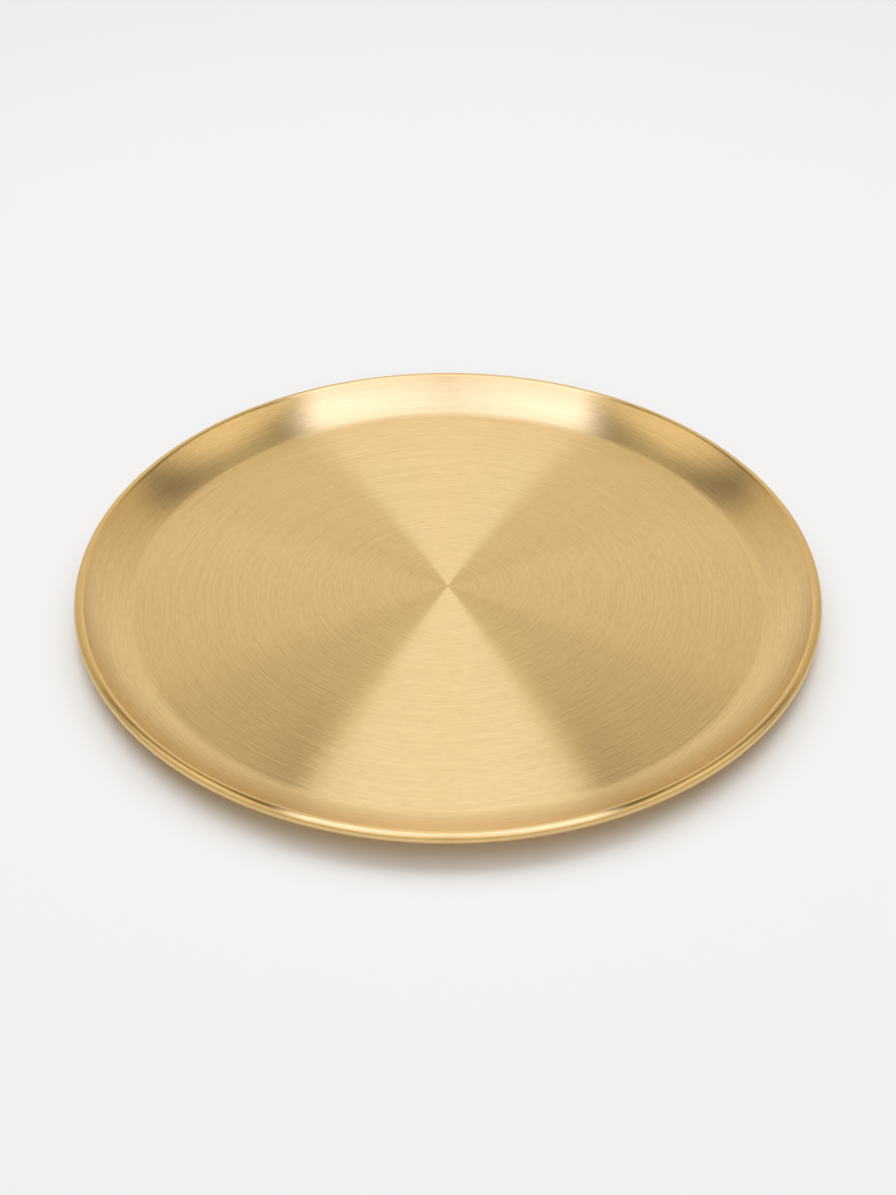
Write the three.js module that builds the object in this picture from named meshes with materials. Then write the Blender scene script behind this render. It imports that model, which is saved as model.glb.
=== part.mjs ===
// Round brushed brass serving plate, made of two pieces: a dish formed from one flat sheet, and a
// wire hoop that the edge of the sheet is rolled over to stiffen the rim.
// Millimetres, +Z up. The origin is on the table, under the middle of the plate.
import * as THREE from 'three';

// Driving dimensions
const plateDiameter = 300; // over the rolled rim
const plateHeight = 12; // from the table to the top of the rim
const sheetThickness = 0.7;
const heelRadius = 12; // bend between floor and wall, at the middle of the sheet
const wallAngleAtHeel = 20; // degrees above the floor, where the wall leaves the heel
const wallAngleAtRim = 46; // degrees above the floor, where the wall runs into the roll
const wireDiameter = 3;
const wireClearance = 0.15; // all round the wire, inside the roll
const lipGap = 0.4; // slit that the rolled edge leaves under the wall
const wireButtGap = 0.5; // between the two cut ends of the hoop

// Facets
const facetsAround = 96;
const heelSteps = 3;
const wallSteps = 5;
const rollSteps = 18;
const wireHalfSides = 6; // facets in half of the wire's round

// Sizes that follow from the driving dimensions
const halfSheet = sheetThickness / 2;
const rollInnerRadius = wireDiameter / 2 + wireClearance;
const rollMiddleRadius = rollInnerRadius + halfSheet;
const rollOuterRadius = rollInnerRadius + sheetThickness;
const wireRadiusFromAxis = plateDiameter / 2 - rollOuterRadius;
const wireHeight = plateHeight - rollOuterRadius;
const heelAngle = THREE.MathUtils.degToRad(wallAngleAtHeel);
const rimAngle = THREE.MathUtils.degToRad(wallAngleAtRim);

// The roll starts square to the wall, so the wire's place and the wall's angle give where it starts.
const rollStart = {
  radius: wireRadiusFromAxis - rollMiddleRadius * Math.sin(rimAngle),
  height: wireHeight + rollMiddleRadius * Math.cos(rimAngle),
};

// The wall sweeps from the heel to the roll in one arc, which has to climb what the heel leaves.
const heelClimb = heelRadius * (1 - Math.cos(heelAngle));
const wallClimb = rollStart.height - halfSheet - heelClimb;
const wallRadius = wallClimb / (Math.cos(heelAngle) - Math.cos(rimAngle));
const wallReach = wallRadius * (Math.sin(rimAngle) - Math.sin(heelAngle));
const floorRadius = rollStart.radius - wallReach - heelRadius * Math.sin(heelAngle);

// The roll goes round the wire until its outside comes within the slit's width of the wall.
const lipAngle = Math.acos((rollInnerRadius - lipGap) / rollOuterRadius);
const rollTurn = 2 * Math.PI - lipAngle;

// The middle line of the sheet, from the axis outwards, walked as a bend list. Each station holds
// its radius, its height and the sheet's heading there, in radians above the floor.
class SheetLine {
  constructor(radius, height) {
    this.stations = [{ radius, height, heading: 0 }];
  }

  straight(length) {
    const { radius, height, heading } = this.stations.at(-1);
    this.stations.push({
      radius: radius + length * Math.cos(heading),
      height: height + length * Math.sin(heading),
      heading,
    });
    return this;
  }

  // A positive turn bends the sheet up, a negative one rolls it over outwards.
  bend(bendRadius, turn, steps) {
    const { radius, height, heading } = this.stations.at(-1);
    const arm = bendRadius * Math.sign(turn);
    const centre = { radius: radius - arm * Math.sin(heading), height: height + arm * Math.cos(heading) };
    for (let step = 1; step <= steps; step++) {
      const turned = heading + (turn * step) / steps;
      this.stations.push({
        radius: centre.radius + arm * Math.sin(turned),
        height: centre.height - arm * Math.cos(turned),
        heading: turned,
      });
    }
    return this;
  }

  // One face of the sheet: the upper one for a positive offset from the middle line.
  face(offset) {
    return this.stations.map(
      ({ radius, height, heading }) =>
        new THREE.Vector2(radius - offset * Math.sin(heading), height + offset * Math.cos(heading)),
    );
  }
}

// The hoop's centre line: a level circle that stops short of closing by the butt gap.
class HoopCurve extends THREE.Curve {
  getPoint(share, target = new THREE.Vector3()) {
    const gapAngle = wireButtGap / wireRadiusFromAxis;
    const angle = gapAngle / 2 + share * (2 * Math.PI - gapAngle);
    return target.set(wireRadiusFromAxis * Math.cos(angle), wireRadiusFromAxis * Math.sin(angle), wireHeight);
  }
}

// The dish: floor, heel, sweeping wall and roll, spun about the plate's axis.
function makeDish() {
  const line = new SheetLine(0, halfSheet)
    .straight(floorRadius)
    .bend(heelRadius, heelAngle, heelSteps)
    .bend(wallRadius, rimAngle - heelAngle, wallSteps)
    .bend(rollMiddleRadius, -rollTurn, rollSteps);
  const section = [...line.face(-halfSheet), ...line.face(halfSheet).reverse()];
  const geometry = new THREE.LatheGeometry(section, facetsAround);
  geometry.rotateX(Math.PI / 2);
  const brushedBrass = new THREE.MeshStandardMaterial({ color: 0xd6b47a, roughness: 0.38, metalness: 1 });
  const dish = new THREE.Mesh(geometry, brushedBrass);
  dish.name = 'dish';
  return dish;
}

// The hoop: round wire bent to a circle, its ends butted inside the roll.
function makeRimWire() {
  const wireSection = new THREE.Shape().absarc(0, 0, wireDiameter / 2, 0, 2 * Math.PI);
  const geometry = new THREE.ExtrudeGeometry(wireSection, {
    extrudePath: new HoopCurve(),
    steps: facetsAround,
    curveSegments: wireHalfSides,
  });
  const drawnBrass = new THREE.MeshStandardMaterial({ color: 0xc9a765, roughness: 0.3, metalness: 1 });
  const rimWire = new THREE.Mesh(geometry, drawnBrass);
  rimWire.name = 'rim_wire';
  return rimWire;
}

const plate = new THREE.Group();
plate.name = 'serving_plate';
plate.add(makeDish(), makeRimWire());

export default plate;
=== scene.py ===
import math

import bmesh
import bpy
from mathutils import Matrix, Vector


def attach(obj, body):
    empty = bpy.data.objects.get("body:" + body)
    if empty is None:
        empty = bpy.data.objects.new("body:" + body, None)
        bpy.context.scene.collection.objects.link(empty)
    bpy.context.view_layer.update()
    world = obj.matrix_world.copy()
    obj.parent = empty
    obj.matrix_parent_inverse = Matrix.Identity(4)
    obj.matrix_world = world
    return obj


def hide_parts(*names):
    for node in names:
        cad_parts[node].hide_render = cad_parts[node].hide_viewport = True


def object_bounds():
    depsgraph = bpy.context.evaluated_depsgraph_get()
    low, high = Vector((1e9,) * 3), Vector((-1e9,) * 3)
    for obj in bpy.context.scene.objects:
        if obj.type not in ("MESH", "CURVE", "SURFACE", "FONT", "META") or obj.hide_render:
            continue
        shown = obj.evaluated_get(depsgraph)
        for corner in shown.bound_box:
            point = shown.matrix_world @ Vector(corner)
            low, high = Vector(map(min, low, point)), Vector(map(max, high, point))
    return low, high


# Brushed brass serving plate on a pale table. Metres, +Z up, the plate stands on z = 0.

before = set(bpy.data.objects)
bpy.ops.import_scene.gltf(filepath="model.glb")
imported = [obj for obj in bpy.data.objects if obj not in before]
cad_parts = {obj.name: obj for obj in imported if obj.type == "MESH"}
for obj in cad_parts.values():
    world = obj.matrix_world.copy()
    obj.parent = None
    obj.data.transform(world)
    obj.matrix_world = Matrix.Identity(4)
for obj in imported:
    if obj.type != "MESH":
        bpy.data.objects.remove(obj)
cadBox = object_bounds()
plateRadius = (cadBox[1][0] - cadBox[0][0]) / 2
plateHeight = cadBox[1][2]
scene = bpy.context.scene
mm = 0.001
print("frame loaded, plate", round(2000 * plateRadius), "mm across")


# Node helpers

def addNode(tree, kind, place, **settings):
    node = tree.nodes.new(kind)
    node.location = place
    for name, value in settings.items():
        setattr(node, name, value)
    return node


def setInputs(node, **values):
    for name, value in values.items():
        node.inputs[name.replace("_", " ")].default_value = value
    return node


def mathNode(tree, operation, place, first, second=None):
    node = addNode(tree, "ShaderNodeMath", place, operation=operation)
    for slot, value in enumerate((first, second)):
        if value is None:
            continue
        if isinstance(value, (int, float)):
            node.inputs[slot].default_value = value
        else:
            tree.links.new(value, node.inputs[slot])
    return node.outputs[0]


def dotNode(tree, place, first, second):
    node = addNode(tree, "ShaderNodeVectorMath", place, operation="DOT_PRODUCT")
    tree.links.new(first, node.inputs[0])
    tree.links.new(second, node.inputs[1])
    return node.outputs["Value"]


# rises smoothly from one value to another over a stretch round the middle
def eased(tree, place, value, middle, stretch, low, high):
    ease = addNode(tree, "ShaderNodeMapRange", place, interpolation_type="SMOOTHSTEP")
    setInputs(ease, From_Min=middle - stretch / 2, From_Max=middle + stretch / 2, To_Min=low, To_Max=high)
    tree.links.new(value, ease.inputs["Value"])
    return ease.outputs[0]


def newGroup(name, inputs, outputs):
    group = bpy.data.node_groups.new(name, "ShaderNodeTree")
    for label, kind, value in inputs:
        socket = group.interface.new_socket(name=label, in_out="INPUT", socket_type=kind)
        if value is not None:
            socket.default_value = value
    for label, kind in outputs:
        group.interface.new_socket(name=label, in_out="OUTPUT", socket_type=kind)
    entry = addNode(group, "NodeGroupInput", (-900, 0))
    leave = addNode(group, "NodeGroupOutput", (900, 0))
    return group, entry, leave


def placeGroup(tree, group, place, **values):
    node = addNode(tree, "ShaderNodeGroup", place)
    node.node_tree = group
    return setInputs(node, **values)


# Camera, at the photograph's angle

cameraSettings = {
    "lens": 50,  # mm
    "sensor": 36,  # mm, along the taller side
    "nearest": 10 * mm,
    "elevation": 38.98,  # degrees above the table
    "distance": 4.570,  # in plate radii
    "aimHeight": -0.0365,  # in plate radii
}


def makeCamera(settings):
    data = bpy.data.cameras.new("photoCamera")
    data.lens = settings["lens"]
    data.sensor_width = settings["sensor"]
    data.clip_start = settings["nearest"]
    camera = bpy.data.objects.new("photoCamera", data)
    scene.collection.objects.link(camera)
    tilt = math.radians(settings["elevation"])
    reach = settings["distance"] * plateRadius
    aim = Vector((0, 0, settings["aimHeight"] * plateRadius))
    camera.location = aim + Vector((0, -reach * math.cos(tilt), reach * math.sin(tilt)))
    camera.rotation_euler = (math.pi / 2 - tilt, 0, 0)
    scene.camera = camera


makeCamera(cameraSettings)
print("camera placed")


# Section of the dish, as the sheet is bent: each station is radius, height and heading of its middle

dishSettings = {
    "sheet": 0.7 * mm,
    "heelRadius": 12 * mm,
    "wallAngleAtHeel": math.radians(20),
    "wallAngleAtRim": math.radians(46),
    "wire": 3 * mm,
    "wireClearance": 0.15 * mm,
    "lipGap": 0.4 * mm,
    "wireButt": 0.5 * mm,
    "around": 480,  # steps round the plate
    "floorSteps": 8,
    "heelSteps": 10,
    "wallSteps": 26,
    "rollSteps": 56,
    "lipSteps": 4,
}

halfSheet = dishSettings["sheet"] / 2
rollInner = dishSettings["wire"] / 2 + dishSettings["wireClearance"]
rollMiddle = rollInner + halfSheet
rollOuter = rollInner + 2 * halfSheet
wireRing = plateRadius - rollOuter
wireHeight = plateHeight - rollOuter


def bendFrom(stations, bendRadius, turn, steps):
    radius, height, heading = stations[-1]
    arm = math.copysign(bendRadius, turn)
    centreRadius = radius - arm * math.sin(heading)
    centreHeight = height + arm * math.cos(heading)
    for step in range(1, steps + 1):
        turned = heading + turn * step / steps
        place = (centreRadius + arm * math.sin(turned), centreHeight - arm * math.cos(turned), turned)
        stations.append(place)


def sheetStations(settings):
    heelAngle = settings["wallAngleAtHeel"]
    rimAngle = settings["wallAngleAtRim"]
    rollStart = wireRing - rollMiddle * math.sin(rimAngle)
    rollStartHeight = wireHeight + rollMiddle * math.cos(rimAngle)
    heelClimb = settings["heelRadius"] * (1 - math.cos(heelAngle))
    wallClimb = rollStartHeight - halfSheet - heelClimb
    wallRadius = wallClimb / (math.cos(heelAngle) - math.cos(rimAngle))
    wallReach = wallRadius * (math.sin(rimAngle) - math.sin(heelAngle))
    floorRadius = rollStart - wallReach - settings["heelRadius"] * math.sin(heelAngle)
    lipAngle = math.acos((rollInner - settings["lipGap"]) / rollOuter)
    steps = settings["floorSteps"]
    stations = [(floorRadius * step / steps, halfSheet, 0.0) for step in range(steps + 1)]
    bendFrom(stations, settings["heelRadius"], heelAngle, settings["heelSteps"])
    bendFrom(stations, wallRadius, rimAngle - heelAngle, settings["wallSteps"])
    bendFrom(stations, rollMiddle, lipAngle - 2 * math.pi, settings["rollSteps"])
    return stations


def sectionPoints(settings):
    stations = sheetStations(settings)
    upper = [(r - halfSheet * math.sin(h), z + halfSheet * math.cos(h)) for r, z, h in stations]
    lower = [(r + halfSheet * math.sin(h), z - halfSheet * math.cos(h)) for r, z, h in stations]
    radius, height, heading = stations[-1]
    lip = []
    for step in range(1, settings["lipSteps"]):  # the cut edge is dressed round
        swing = math.pi * step / settings["lipSteps"]
        ahead = halfSheet * math.sin(swing)
        beside = halfSheet * math.cos(swing)
        lip.append((
            radius + ahead * math.cos(heading) - beside * math.sin(heading),
            height + ahead * math.sin(heading) + beside * math.cos(heading),
        ))
    return upper + lip + lower[::-1]


# Spins an open section, whose two ends lie on the axis, into a closed skin with a map of
# angle against length along the section
def spinSection(name, points, around):
    lengths = [0.0]
    for (r0, z0), (r1, z1) in zip(points, points[1:]):
        lengths.append(lengths[-1] + math.hypot(r1 - r0, z1 - z0))
    mesh = bmesh.new()
    mapLayer = mesh.loops.layers.uv.new("OFBake")
    rings = []
    for radius, height in points[1:-1]:
        ring = []
        for step in range(around):
            angle = 2 * math.pi * step / around
            ring.append(mesh.verts.new((radius * math.cos(angle), radius * math.sin(angle), height)))
        rings.append(ring)
    middles = [mesh.verts.new((0, 0, points[0][1])), mesh.verts.new((0, 0, points[-1][1]))]

    def addFace(corners, marks):
        face = mesh.faces.new(corners)
        face.smooth = True
        for loop, (turn, row) in zip(face.loops, marks):
            loop[mapLayer].uv = (turn / around, lengths[row] / lengths[-1])

    last = len(points) - 1
    for step in range(around):
        after = (step + 1) % around
        addFace(
            (middles[0], rings[0][step], rings[0][after]),
            ((step + 0.5, 0), (step, 1), (step + 1, 1)),
        )
        for row in range(len(rings) - 1):
            addFace(
                (rings[row][step], rings[row + 1][step], rings[row + 1][after], rings[row][after]),
                ((step, row + 1), (step, row + 2), (step + 1, row + 2), (step + 1, row + 1)),
            )
        addFace(
            (rings[-1][step], middles[1], rings[-1][after]),
            ((step, last - 1), (step + 0.5, last), (step + 1, last - 1)),
        )
    data = bpy.data.meshes.new(name)
    mesh.to_mesh(data)
    mesh.free()
    piece = bpy.data.objects.new(name, data)
    scene.collection.objects.link(piece)
    return piece, lengths


dish, lengths = spinSection("brushedDish", sectionPoints(dishSettings), dishSettings["around"])
sectionLength = lengths[-1]
rollFirst = dishSettings["floorSteps"] + dishSettings["heelSteps"] + dishSettings["wallSteps"]
rollReach = (lengths[rollFirst], lengths[rollFirst + dishSettings["rollSteps"]])
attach(dish, "root")
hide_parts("dish")
print("dish made,", len(dish.data.polygons), "faces")


# Wire hoop inside the roll, its cut ends butted at +X

wireSettings = {
    "around": 360,  # steps round the hoop
    "sides": 20,
    "filedEdge": 0.4 * mm,  # rounding at each cut end
    "filedSteps": 3,
}


def hoopRings(settings):
    gap = dishSettings["wireButt"] / 2 / wireRing
    filed = settings["filedEdge"]
    wireRadius = dishSettings["wire"] / 2
    rings = []
    for step in range(settings["filedSteps"]):  # each ring is its angle and its radius
        swing = math.pi / 2 * step / settings["filedSteps"]
        angle = gap + filed * (1 - math.sin(swing)) / wireRing
        rings.append((angle, wireRadius - filed * (1 - math.cos(swing))))
    rings.sort()
    start = rings[-1][0]
    stride = (2 * math.pi - 2 * start) / settings["around"]
    middle = [(start + stride * step, wireRadius) for step in range(1, settings["around"])]
    farEnd = [(2 * math.pi - angle, radius) for angle, radius in reversed(rings)]
    return rings + middle + farEnd


def makeHoop(name, settings):
    mesh = bmesh.new()
    sides = settings["sides"]
    loops = []
    for angle, radius in hoopRings(settings):
        ring = []
        for side in range(sides):
            turn = 2 * math.pi * side / sides
            reach = wireRing + radius * math.cos(turn)
            place = (reach * math.cos(angle), reach * math.sin(angle), wireHeight + radius * math.sin(turn))
            ring.append(mesh.verts.new(place))
        loops.append(ring)
    for near, far in zip(loops, loops[1:]):
        for side in range(sides):
            after = (side + 1) % sides
            mesh.faces.new((near[side], near[after], far[after], far[side])).smooth = True
    mesh.faces.new(loops[0][::-1])
    mesh.faces.new(loops[-1])
    bmesh.ops.recalc_face_normals(mesh, faces=mesh.faces)
    data = bpy.data.meshes.new(name)
    mesh.to_mesh(data)
    mesh.free()
    piece = bpy.data.objects.new(name, data)
    scene.collection.objects.link(piece)
    return piece


hoop = makeHoop("wireHoop", wireSettings)
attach(hoop, "root")
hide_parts("rim_wire")
print("hoop made,", len(hoop.data.polygons), "faces")


# What the brushing is made up of: how many times coarser and shorter each kind is than the pitch and run
# of the finish
brushSettings = {
    "short": {"coarser": 1.0, "shorter": 2.6, "detail": 1.0},
    "long": {"coarser": 1.5, "shorter": 0.3, "detail": 1.0},
    "bands": {"coarser": 5.6, "shorter": 0.17, "detail": 2.0},
    "longShare": 0.42,
    "unevenness": 0.55,
}


# Scratch lines left by an abrasive that runs round the plate's axis. Across is the distance square to
# the lines; the lines fade in and out along their run.
def makeBrushLines(settings):
    group, entry, leave = newGroup(
        "brushLines",
        [
            ("Across", "NodeSocketFloat", 0.0),
            ("Pitch", "NodeSocketFloat", 0.5 * mm),
            ("Run", "NodeSocketFloat", 20 * mm),
        ],
        [("Lines", "NodeSocketFloat"), ("Grooves", "NodeSocketFloat"), ("Bands", "NodeSocketFloat")],
    )
    links = group.links
    place = addNode(group, "ShaderNodeTexCoord", (-900, -200))
    split = addNode(group, "ShaderNodeSeparateXYZ", (-700, -200))
    links.new(place.outputs["Object"], split.inputs[0])
    runX = mathNode(group, "DIVIDE", (-500, -150), split.outputs["X"], entry.outputs["Run"])
    runY = mathNode(group, "DIVIDE", (-500, -300), split.outputs["Y"], entry.outputs["Run"])
    rows = mathNode(group, "DIVIDE", (-500, 50), entry.outputs["Across"], entry.outputs["Pitch"])

    def streaks(height, kind):
        count = mathNode(group, "DIVIDE", (-300, height), rows, kind["coarser"])
        alongX = mathNode(group, "MULTIPLY", (-300, height - 60), runX, kind["shorter"])
        alongY = mathNode(group, "MULTIPLY", (-300, height - 120), runY, kind["shorter"])
        join = addNode(group, "ShaderNodeCombineXYZ", (-100, height))
        links.new(count, join.inputs["X"])
        links.new(alongX, join.inputs["Y"])
        links.new(alongY, join.inputs["Z"])
        noise = addNode(group, "ShaderNodeTexNoise", (100, height), noise_dimensions="3D")
        setInputs(noise, Scale=1.0, Detail=kind["detail"], Roughness=settings["unevenness"])
        links.new(join.outputs[0], noise.inputs["Vector"])
        return noise.outputs["Fac"]

    short = streaks(300, settings["short"])
    long = streaks(0, settings["long"])
    share = addNode(group, "ShaderNodeMix", (500, 200), data_type="FLOAT")
    share.inputs["Factor"].default_value = settings["longShare"]
    links.new(short, share.inputs["A"])
    links.new(long, share.inputs["B"])
    links.new(share.outputs["Result"], leave.inputs["Lines"])
    links.new(long, leave.inputs["Grooves"])
    links.new(streaks(-300, settings["bands"]), leave.inputs["Bands"])
    return group


handlingSettings = {"detail": 3.0, "unevenness": 0.5}


# Faint clouds of tarnish and handling, with no direction of their own
def makeHandling(settings):
    group, entry, leave = newGroup(
        "handling",
        [("Size", "NodeSocketFloat", 50 * mm)],
        [("Clouds", "NodeSocketFloat")],
    )
    place = addNode(group, "ShaderNodeTexCoord", (-900, -200))
    sized = addNode(group, "ShaderNodeVectorMath", (-400, 0), operation="DIVIDE")
    group.links.new(place.outputs["Object"], sized.inputs[0])
    group.links.new(entry.outputs["Size"], sized.inputs[1])
    noise = addNode(group, "ShaderNodeTexNoise", (0, 0), noise_dimensions="3D")
    setInputs(noise, Scale=1.0, Detail=settings["detail"], Roughness=settings["unevenness"])
    group.links.new(sized.outputs[0], noise.inputs["Vector"])
    group.links.new(noise.outputs["Fac"], leave.inputs["Clouds"])
    return group


brushLines = makeBrushLines(brushSettings)
handling = makeHandling(handlingSettings)

# How far the lines, bands and clouds show in every finish
finishMix = {
    "lines": 0.86,  # of the tone
    "patches": 0.07,  # of the tone, for the bands and for the clouds
    "toneReach": (0.4, 0.6),  # values that give the deep colour and the bright one
    "glossReach": (0.3, 0.7),  # values that give the least roughness and the most
}


# A metal whose lines run round the axis: colour, gloss and relief all follow the same lines
def brushedMetal(name, settings, acrossOf):
    material = bpy.data.materials.new(name)
    material.use_nodes = True
    tree = material.node_tree
    tree.nodes.clear()
    # a Glossy shader, because it can stretch the gloss across the lines further than a Principled one
    shader = addNode(tree, "ShaderNodeBsdfAnisotropic", (900, 0), distribution="GGX")
    ending = addNode(tree, "ShaderNodeOutputMaterial", (1200, 0))
    tree.links.new(shader.outputs[0], ending.inputs["Surface"])
    setInputs(shader, Anisotropy=settings["stretch"])
    tangent = addNode(tree, "ShaderNodeTangent", (600, -500), direction_type="RADIAL", axis="Z")
    tree.links.new(tangent.outputs[0], shader.inputs["Tangent"])
    across = acrossOf(tree)
    lines = placeGroup(tree, brushLines, (-300, 0), Pitch=settings["pitch"], Run=settings["run"])
    tree.links.new(across, lines.inputs["Across"])
    clouds = placeGroup(tree, handling, (-300, -300), Size=settings["cloudSize"])

    spread = addNode(tree, "ShaderNodeMapRange", (100, 400))
    deepest, brightest = finishMix["toneReach"]
    setInputs(spread, From_Min=deepest, From_Max=brightest, To_Min=0.0, To_Max=1.0)
    worn = mathNode(tree, "ADD", (-100, 150), lines.outputs["Bands"], clouds.outputs["Clouds"])
    patches = mathNode(tree, "MULTIPLY", (-50, 150), worn, finishMix["patches"])
    streaked = mathNode(tree, "MULTIPLY", (-50, 300), lines.outputs["Lines"], finishMix["lines"])
    tree.links.new(mathNode(tree, "ADD", (0, 200), streaked, patches), spread.inputs["Value"])
    lit = addNode(tree, "ShaderNodeMix", (300, 400), data_type="RGBA")
    lit.inputs["A"].default_value = (*settings["deepColour"], 1)
    lit.inputs["B"].default_value = (*settings["colour"], 1)
    tree.links.new(spread.outputs[0], lit.inputs["Factor"])
    tone = lit.outputs["Result"]

    gloss = addNode(tree, "ShaderNodeMapRange", (300, 0))
    low, high = settings["roughness"]
    smoothest, roughest = finishMix["glossReach"]
    setInputs(gloss, From_Min=smoothest, From_Max=roughest, To_Min=low, To_Max=high)
    average = mathNode(tree, "MULTIPLY", (200, -100), worn, 0.5)
    tree.links.new(average, gloss.inputs["Value"])
    rough = gloss.outputs[0]
    if "rim" in settings:
        tone, rough = burnishRim(tree, across, tone, rough, settings["rim"])
    tree.links.new(tone, shader.inputs["Color"])
    tree.links.new(rough, shader.inputs["Roughness"])

    relief = addNode(tree, "ShaderNodeBump", (600, -250))
    setInputs(relief, Strength=1.0, Distance=settings["relief"])
    tree.links.new(lines.outputs["Grooves"], relief.inputs["Height"])
    tree.links.new(relief.outputs[0], shader.inputs["Normal"])
    return material


# the roll is burnished by the tool that closes it, so it is smoother; its colour is also made a little
# deeper and warmer than the rest of the dish
def burnishRim(tree, across, tone, rough, rim):
    start, stop = rim["reach"]
    rise = eased(tree, (100, 800), across, start, rim["soft"], 0.0, 1.0)
    fall = eased(tree, (100, 1000), across, stop, rim["soft"], 1.0, 0.0)
    burnished = mathNode(tree, "MULTIPLY", (300, 900), rise, fall)
    deepen = addNode(tree, "ShaderNodeMix", (600, 600), data_type="RGBA", blend_type="MULTIPLY")
    deepen.inputs["B"].default_value = (*rim["colour"], 1)
    tree.links.new(burnished, deepen.inputs["Factor"])
    tree.links.new(tone, deepen.inputs["A"])
    smoother = addNode(tree, "ShaderNodeMapRange", (500, 900))
    setInputs(smoother, To_Min=1.0, To_Max=rim["gloss"])
    tree.links.new(burnished, smoother.inputs["Value"])
    return deepen.outputs["Result"], mathNode(tree, "MULTIPLY", (700, 300), rough, smoother.outputs[0])


dishFinish = {
    "colour": (0.885, 0.665, 0.355),
    "deepColour": (0.831, 0.617, 0.321),
    "rim": {
        "reach": rollReach,
        "soft": 1 * mm,
        "colour": (0.96, 0.92, 0.82),  # times the colour
        "gloss": 0.85,  # times the roughness
    },
    "roughness": (0.188, 0.199),
    "stretch": 0.826,
    "pitch": 0.8 * mm,
    "run": 12 * mm,
    "relief": 0.07 * mm,
    "cloudSize": 60 * mm,
}

wireFinish = {
    "colour": (0.78, 0.58, 0.29),
    "deepColour": (0.72, 0.52, 0.24),
    "roughness": (0.22, 0.3),
    "stretch": 0.6,
    "pitch": 0.2 * mm,
    "run": 40 * mm,
    "relief": 0.02 * mm,
    "cloudSize": 30 * mm,
}


def alongSection(tree):
    unrolled = addNode(tree, "ShaderNodeUVMap", (-900, 0), uv_map="OFBake")
    split = addNode(tree, "ShaderNodeSeparateXYZ", (-700, 0))
    tree.links.new(unrolled.outputs[0], split.inputs[0])
    return mathNode(tree, "MULTIPLY", (-500, 0), split.outputs["Y"], sectionLength)


def roundWire(tree):
    place = addNode(tree, "ShaderNodeTexCoord", (-1300, 0))
    split = addNode(tree, "ShaderNodeSeparateXYZ", (-1100, 0))
    tree.links.new(place.outputs["Object"], split.inputs[0])
    squareX = mathNode(tree, "MULTIPLY", (-900, 0), split.outputs["X"], split.outputs["X"])
    squareY = mathNode(tree, "MULTIPLY", (-900, -150), split.outputs["Y"], split.outputs["Y"])
    reach = mathNode(tree, "SQRT", (-700, 0), mathNode(tree, "ADD", (-800, 0), squareX, squareY))
    outward = mathNode(tree, "SUBTRACT", (-600, 0), reach, wireRing)
    upward = mathNode(tree, "SUBTRACT", (-600, -150), split.outputs["Z"], wireHeight)
    turn = mathNode(tree, "ARCTAN2", (-500, 0), upward, outward)
    return mathNode(tree, "MULTIPLY", (-400, 0), turn, dishSettings["wire"] / 2)


dish.data.materials.append(brushedMetal("brushedBrass", dishFinish, alongSection))
hoop.data.materials.append(brushedMetal("drawnBrass", wireFinish, roundWire))
print("metals made")


# Pale table, with painted shade: its colour darkens away from the plate as if the light fell off

tableSettings = {
    "size": 16.0,
    "cells": 4,
    "colour": (0.94, 0.94, 0.945),
    # painted shade: the colour the paper fades to far from the plate, standing in for the light falling off
    "paintedFalloffColour": (0.874, 0.874, 0.882),  # away from the plate
    "middle": (0, 0.15, 0),
    "reach": 0.5,  # how far out the one colour is half way to the other
    "soft": 0.5,
    "roughness": 0.7,
}


def makeTable(settings):
    mesh = bmesh.new()
    cells = settings["cells"]
    bmesh.ops.create_grid(mesh, x_segments=cells, y_segments=cells, size=settings["size"] / 2)
    data = bpy.data.meshes.new("table")
    mesh.to_mesh(data)
    mesh.free()
    table = bpy.data.objects.new("table", data)
    scene.collection.objects.link(table)
    material = bpy.data.materials.new("tablePaper")
    material.use_nodes = True
    tree = material.node_tree
    shader = tree.nodes["Principled BSDF"]
    setInputs(shader, Roughness=settings["roughness"], Specular_IOR_Level=0.0)  # matt
    place = addNode(tree, "ShaderNodeTexCoord", (-1100, 0))
    away = addNode(tree, "ShaderNodeVectorMath", (-900, 0), operation="DISTANCE")
    away.inputs[1].default_value = settings["middle"]
    tree.links.new(place.outputs["Object"], away.inputs[0])
    # painted shade: the paper darkens with distance from a point just behind the plate, as if the light
    # fell off there
    far = eased(tree, (-700, 0), away.outputs["Value"], settings["reach"], settings["soft"], 0.0, 1.0)
    paperAndPaintedFalloff = addNode(tree, "ShaderNodeMix", (-400, 0), data_type="RGBA")
    paperAndPaintedFalloff.inputs["A"].default_value = (*settings["colour"], 1)
    paperAndPaintedFalloff.inputs["B"].default_value = (*settings["paintedFalloffColour"], 1)
    tree.links.new(far, paperAndPaintedFalloff.inputs["Factor"])
    tree.links.new(paperAndPaintedFalloff.outputs["Result"], shader.inputs["Base Color"])
    data.materials.append(material)


makeTable(tableSettings)
print("table laid")


# Studio, written in the world so that it is far away: what the metal reflects, and the softer light
# that falls on the table

roomSettings = {
    "front": (1.15, 1.01, 0.75),  # radiance of the room on the camera's side
    "frontFoot": {"share": 0.3, "height": 25.7, "soft": 39.6},  # what is left near the ground, degrees
    "back": (0.617, 0.516, 0.358),
    "backFoot": {"share": 0.25, "height": 7.5, "soft": 12},
    "turn": 0.296,  # how far back the one goes over into the other, on a sphere of radius 1
    "turnSoft": 0.1,
    "backdrop": 0.833,  # what the camera sees beyond the table
}

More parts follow.
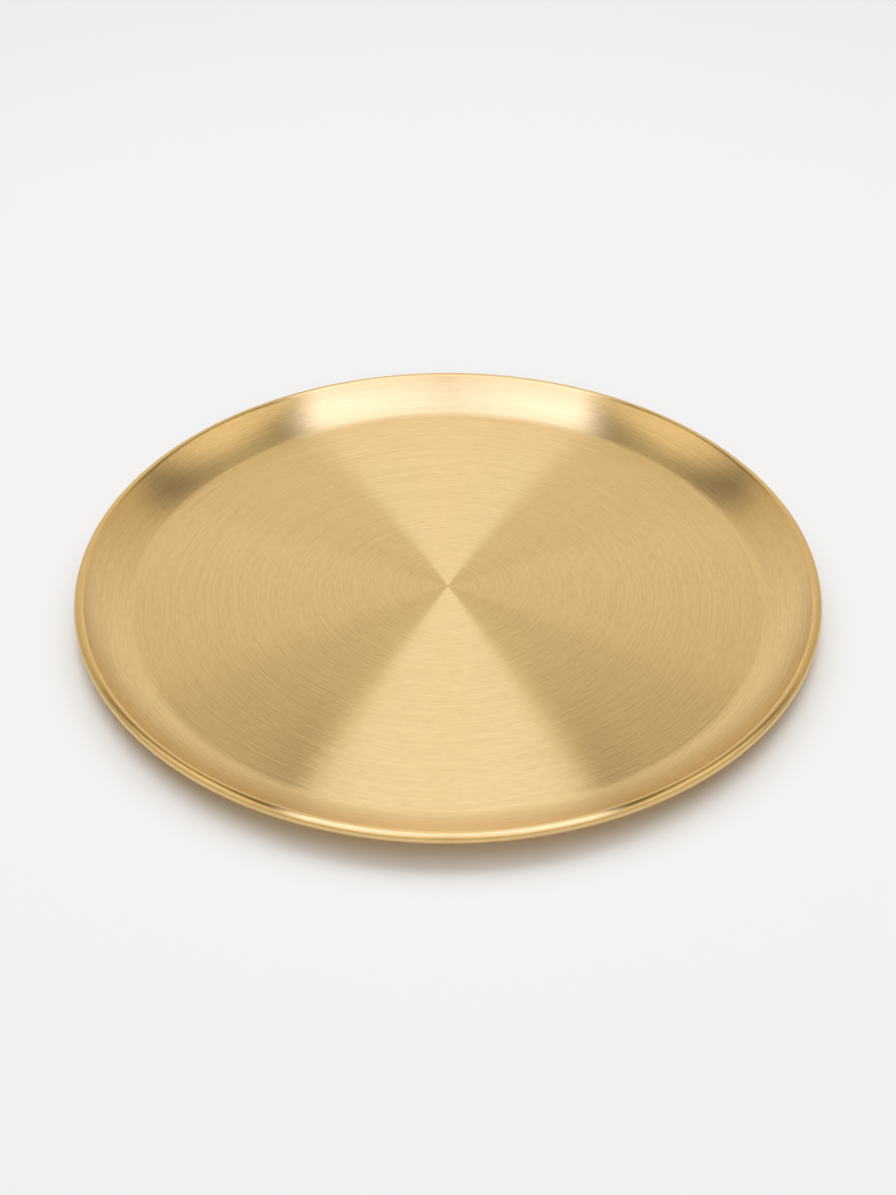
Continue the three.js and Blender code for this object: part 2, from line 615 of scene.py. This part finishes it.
# Each layer lies over the room and the layers before it: a lamp adds its light, a flag holds some back.
# Azimuth runs from +Y towards +X, in degrees. Sizes are for unit distance, and low and high are measured
# upwards from the middle, or towards +Y for what hangs straight overhead.
studioLayers = [
    {"name": "sideFlag", "azimuth": 180, "elevation": 90, "width": 0.562, "taper": -0.255,
     "low": -0.774, "high": 0.69, "softWidth": 0.18, "softLow": 0.261, "softHigh": 0.03,
     "holds": 0.944},
    {"name": "backFlag", "azimuth": 180, "elevation": 90, "width": 1.433, "taper": 0,
     "low": 0.403, "high": 0.777, "softWidth": 1.922, "softLow": 0.409, "softHigh": 0.421,
     "holds": 0.93},
    {"name": "overheadLamp", "azimuth": 180, "elevation": 90, "width": 0.419, "taper": -0.527,
     "low": -0.661, "high": 0.437, "softWidth": 0.151, "softLow": 1.705, "softHigh": 0.555,
     "light": (1.82, 1.91, 2.52)},
    {"name": "lampSeam", "azimuth": 180, "elevation": 90, "width": 0.057, "taper": 0,
     "low": -3, "high": 0.5, "softWidth": 0.5, "softLow": 3, "softHigh": 0.4,
     "holds": 0.323},
    {"name": "warmStrip", "azimuth": 180, "elevation": 90, "width": 0.317, "taper": -0.191,
     "low": 0.437, "high": 1.227, "softWidth": 0.02, "softLow": 0.555, "softHigh": 1.173,
     "light": (0.57, 0.57, 0.45)},
    {"name": "sweepLamp", "azimuth": -3.14, "elevation": 15.037, "width": 0.947, "taper": 0,
     "low": -0.337, "high": 0.337, "softWidth": 2, "softLow": 0.967, "softHigh": 0.967,
     "light": (0.397, 0.456, 0.551)},
]

# What lights the table: a strip overhead from front to back, a wide key from behind the plate and a warm
# fill in front
tableLamps = [
    {"name": "tableStrip", "azimuth": 180, "elevation": 90, "width": 0.2, "taper": 0,
     "low": -0.6, "high": 0.6, "softWidth": 0.3, "softLow": 0.4, "softHigh": 0.4,
     "light": (2.8, 2.8, 2.79)},
    {"name": "tableKey", "azimuth": 0, "elevation": 62.3, "width": 1.34, "taper": 0,
     "low": -0.507, "high": 0.129, "softWidth": 1.126, "softLow": 0.837, "softHigh": 0.206,
     "light": (2.27, 2.38, 2.51)},
    {"name": "tableFill", "azimuth": 180, "elevation": 35, "width": 1.3, "taper": 0,
     "low": -0.4, "high": 0.4, "softWidth": 0.6, "softLow": 0.4, "softHigh": 0.4,
     "light": (0.914, 0.778, 0.595)},
]


leastDepth = 0.001  # nothing is lit at or behind the plane of a panel


def makeSoftPanel():
    group, entry, leave = newGroup(
        "softPanel",
        [
            ("Direction", "NodeSocketVector", None),
            ("Facing", "NodeSocketVector", None),
            ("Across", "NodeSocketVector", None),
            ("Width", "NodeSocketFloat", 0.3),
            ("Taper", "NodeSocketFloat", 0.0),
            ("Low", "NodeSocketFloat", -0.3),
            ("High", "NodeSocketFloat", 0.3),
            ("Soft Width", "NodeSocketFloat", 0.1),
            ("Soft Low", "NodeSocketFloat", 0.1),
            ("Soft High", "NodeSocketFloat", 0.1),
        ],
        [("Light", "NodeSocketFloat")],
    )
    links = group.links
    given = entry.outputs
    upright = addNode(group, "ShaderNodeVectorMath", (-600, -300), operation="CROSS_PRODUCT")
    links.new(given["Across"], upright.inputs[0])
    links.new(given["Facing"], upright.inputs[1])
    ahead = dotNode(group, (-600, 200), given["Direction"], given["Facing"])
    depth = mathNode(group, "MAXIMUM", (-400, 200), ahead, leastDepth)
    side = dotNode(group, (-400, 50), given["Direction"], given["Across"])
    side = mathNode(group, "DIVIDE", (-250, 50), side, depth)
    climb = dotNode(group, (-400, -250), given["Direction"], upright.outputs[0])
    climb = mathNode(group, "DIVIDE", (-250, -250), climb, depth)
    taper = mathNode(group, "MULTIPLY", (-250, 300), climb, given["Taper"])
    half = mathNode(group, "ADD", (-100, 250), given["Width"], taper)

    def soften(height, inside, softness):
        share = mathNode(group, "DIVIDE", (250, height), inside, softness)
        return eased(group, (400, height), share, 0.0, 1.0, 0.0, 1.0)

    offset = mathNode(group, "ABSOLUTE", (-100, 100), side)
    inWidth = soften(200, mathNode(group, "SUBTRACT", (100, 200), half, offset), given["Soft Width"])
    aboveLow = soften(0, mathNode(group, "SUBTRACT", (100, 0), climb, given["Low"]), given["Soft Low"])
    headroom = mathNode(group, "SUBTRACT", (100, -200), given["High"], climb)
    belowHigh = soften(-200, headroom, given["Soft High"])
    inHeight = mathNode(group, "MULTIPLY", (600, -100), aboveLow, belowHigh)
    flat = mathNode(group, "MULTIPLY", (650, 50), inWidth, inHeight)
    front = mathNode(group, "GREATER_THAN", (400, 350), ahead, leastDepth)
    links.new(mathNode(group, "MULTIPLY", (750, 0), flat, front), leave.inputs["Light"])
    return group


def placePanel(tree, group, direction, panel, place):
    azimuth = math.radians(panel["azimuth"])
    tilt = math.radians(panel["elevation"])
    facing = (math.sin(azimuth) * math.cos(tilt), math.cos(azimuth) * math.cos(tilt), math.sin(tilt))
    across = (math.cos(azimuth), -math.sin(azimuth), 0)
    node = placeGroup(tree, group, place, Facing=facing, Across=across, Width=panel["width"],
                      Taper=panel["taper"], Low=panel["low"], High=panel["high"],
                      Soft_Width=panel["softWidth"], Soft_Low=panel["softLow"], Soft_High=panel["softHigh"])
    node.label = panel["name"]
    tree.links.new(direction, node.inputs["Direction"])
    return node.outputs[0]


def scaled(tree, place, colour, amount):
    node = addNode(tree, "ShaderNodeVectorMath", place, operation="SCALE")
    if isinstance(colour, tuple):
        node.inputs[0].default_value = colour
    else:
        tree.links.new(colour, node.inputs[0])
    tree.links.new(amount, node.inputs["Scale"])
    return node.outputs[0]


def added(tree, place, first, second):
    node = addNode(tree, "ShaderNodeVectorMath", place, operation="ADD")
    tree.links.new(first, node.inputs[0])
    tree.links.new(second, node.inputs[1])
    return node.outputs[0]


def makeStudio(room, layers, lamps):
    world = bpy.data.worlds.new("studio")
    scene.world = world
    world.use_nodes = True
    tree = world.node_tree
    tree.nodes.clear()
    links = tree.links
    softPanel = makeSoftPanel()
    place = addNode(tree, "ShaderNodeTexCoord", (-1800, 0))
    direction = place.outputs["Generated"]
    split = addNode(tree, "ShaderNodeSeparateXYZ", (-1600, 200))
    links.new(direction, split.inputs[0])
    height = mathNode(tree, "ARCSINE", (-1400, 400), split.outputs["Z"])

    def nearGround(lower, foot):
        middle, stretch = math.radians(foot["height"]), math.radians(foot["soft"])
        return eased(tree, (-1200, lower), height, middle, stretch, foot["share"], 1.0)

    # room that the metal reflects
    back = eased(tree, (-1200, 200), split.outputs["Y"], room["turn"], room["turnSoft"], 0.0, 1.0)
    front = mathNode(tree, "SUBTRACT", (-1000, 300), 1.0, back)
    front = mathNode(tree, "MULTIPLY", (-800, 300), front, nearGround(450, room["frontFoot"]))
    back = mathNode(tree, "MULTIPLY", (-800, 100), back, nearGround(0, room["backFoot"]))
    total = added(tree, (-400, 200), scaled(tree, (-600, 300), room["front"], front),
                  scaled(tree, (-600, 100), room["back"], back))
    for count, layer in enumerate(layers):
        lower = -200 - 250 * count
        mask = placePanel(tree, softPanel, direction, layer, (-1000, lower))
        if "light" in layer:
            total = added(tree, (-200, lower), total, scaled(tree, (-500, lower), layer["light"], mask))
        else:
            held = mathNode(tree, "MULTIPLY", (-800, lower), mask, layer["holds"])
            total = scaled(tree, (-200, lower), total, mathNode(tree, "SUBTRACT", (-600, lower), 1.0, held))

    # light on the table
    onTable = None
    for count, lamp in enumerate(lamps):
        lower = -1700 - 250 * count
        mask = placePanel(tree, softPanel, direction, lamp, (-1000, lower))
        light = scaled(tree, (-500, lower), lamp["light"], mask)
        onTable = added(tree, (-200, lower), onTable, light) if onTable else light

    rays = addNode(tree, "ShaderNodeLightPath", (-200, 600))
    seen = addNode(tree, "ShaderNodeMix", (100, 0), data_type="RGBA")
    links.new(rays.outputs["Is Glossy Ray"], seen.inputs["Factor"])
    links.new(onTable, seen.inputs["A"])
    links.new(total, seen.inputs["B"])
    plain = addNode(tree, "ShaderNodeMix", (300, 0), data_type="RGBA")
    links.new(rays.outputs["Is Camera Ray"], plain.inputs["Factor"])
    links.new(seen.outputs["Result"], plain.inputs["A"])
    plain.inputs["B"].default_value = (room["backdrop"], room["backdrop"], room["backdrop"], 1)
    shine = addNode(tree, "ShaderNodeBackground", (500, 0))
    ending = addNode(tree, "ShaderNodeOutputWorld", (700, 0))
    links.new(plain.outputs["Result"], shine.inputs["Color"])
    links.new(shine.outputs[0], ending.inputs["Surface"])


makeStudio(roomSettings, studioLayers, tableLamps)
scene.view_settings.view_transform = "Standard"
print("studio lit")
